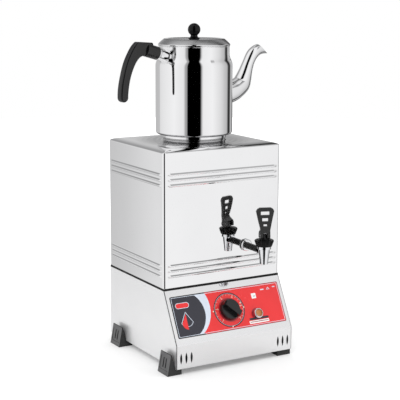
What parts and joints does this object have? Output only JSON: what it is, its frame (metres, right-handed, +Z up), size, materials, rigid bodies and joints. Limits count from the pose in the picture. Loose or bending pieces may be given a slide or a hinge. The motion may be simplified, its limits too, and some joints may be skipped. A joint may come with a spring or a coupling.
{
  "type": "tea urn",
  "caption": "Square steel tea urn with a heater base, sloped dial panel, lever tap and a teapot standing in the collar on top.",
  "frame": {"origin": "on the worktop, below the middle of the tank's footprint", "axes": "+X to the viewer's right along the front, -Y is the front with the tap and the dial, +Z up"},
  "size_m": [0.3596, 0.3037, 0.6206],
  "materials": {
    "polished_steel": "mirror polished stainless sheet",
    "plain_steel": "plain stainless",
    "chrome": "bright chrome plate",
    "zinc_steel": "zinc plated",
    "black_rubber": "moulded rubber",
    "black_plastic": "moulded heat-proof plastic, satin",
    "label_red": "printed film, red with a charcoal end",
    "amber_lens": "amber indicator lens",
    "white_nylon": "nylon",
    "silicone": "food-safe silicone",
    "ceramic": "glazed ceramic",
    "wire_sleeve": "glass-braid sleeve"
  },
  "bodies": {
    "urn": {"tank_shell": "polished_steel", "tank_top": "polished_steel", "tank_floor": "plain_steel", "seam_gasket": "black_rubber", "tank_screws": "zinc_steel", "heating_element": "plain_steel", "element_washers": "zinc_steel", "element_nuts": "zinc_steel", "thermowell": "plain_steel", "capillary": "zinc_steel", "limit_thermostat": "black_plastic", "terminal_block": "ceramic", "earth_stud": "zinc_steel", "cable_gland": "black_rubber", "heater_wires": "wire_sleeve", "base_housing": "polished_steel", "front_panel": "polished_steel", "base_floor": "plain_steel", "front_label": "label_red", "tank_tab": "polished_steel", "panel_screw": "zinc_steel", "lamp_bezel": "chrome", "lamp_lens": "amber_lens", "lamp_nut": "zinc_steel", "thermostat_body": "black_plastic", "foot_front_left": "black_rubber", "foot_front_right": "black_rubber", "foot_rear_left": "black_rubber", "foot_rear_right": "black_rubber", "foot_screws": "zinc_steel", "tap_barrel": "black_plastic", "tap_flange": "chrome", "tap_washer": "black_rubber", "tap_inner_washer": "zinc_steel", "tap_locknut": "zinc_steel", "tap_body": "chrome", "tap_bonnet": "black_plastic", "valve_spring": "chrome"},
    "dial": {"thermostat_knob": "black_plastic", "thermostat_spindle": "zinc_steel"},
    "swivel": {"lever_washer": "white_nylon"},
    "valve": {"valve_stem": "chrome", "seat_cup": "silicone"},
    "lever": {"tap_lever": "black_plastic", "lever_pin": "chrome"},
    "teapot": {"pot_body": "polished_steel", "pot_spout": "polished_steel", "spout_strainer": "plain_steel", "handle_plate": "polished_steel", "handle_ferrule": "polished_steel", "handle_grip": "black_plastic", "handle_screw": "zinc_steel"},
    "lid": {"pot_lid": "polished_steel", "lid_knob": "black_plastic", "lid_nut": "zinc_steel"}
  },
  "joints": [
    {"name": "dial_turn", "type": "hinge", "parent": "urn", "child": "dial", "pos_m": [0, -0.13394, 0.09958], "axis": [0, 0.8863, -0.4631], "range_deg": [0, 270]},
    {"name": "lever_swivel", "type": "hinge", "parent": "urn", "child": "swivel", "pos_m": [0.05, -0.172, 0.2345], "axis": [0, 0, 1], "continuous": true},
    {"name": "valve_lift", "type": "slide", "parent": "swivel", "child": "valve", "axis": [0, 0, 1], "range_m": [0, 0.0031], "deforming": ["valve_spring"]},
    {"name": "lever_tilt", "type": "hinge", "parent": "valve", "child": "lever", "pos_m": [0.05, -0.172, 0.24215], "axis": [0.9397, -0.342, 0], "range_deg": [0, 50]},
    {"name": "teapot_lift", "type": "slide", "parent": "urn", "child": "teapot", "axis": [0, 0, 1], "range_m": [0, 0.08]},
    {"name": "lid_lift", "type": "slide", "parent": "teapot", "child": "lid", "axis": [0, 0, 1], "range_m": [0, 0.05]}
  ],
  "couplings": [
    {"joint": "lever_tilt", "follows": "valve_lift", "rad_per_m": 277.78}
  ]
}
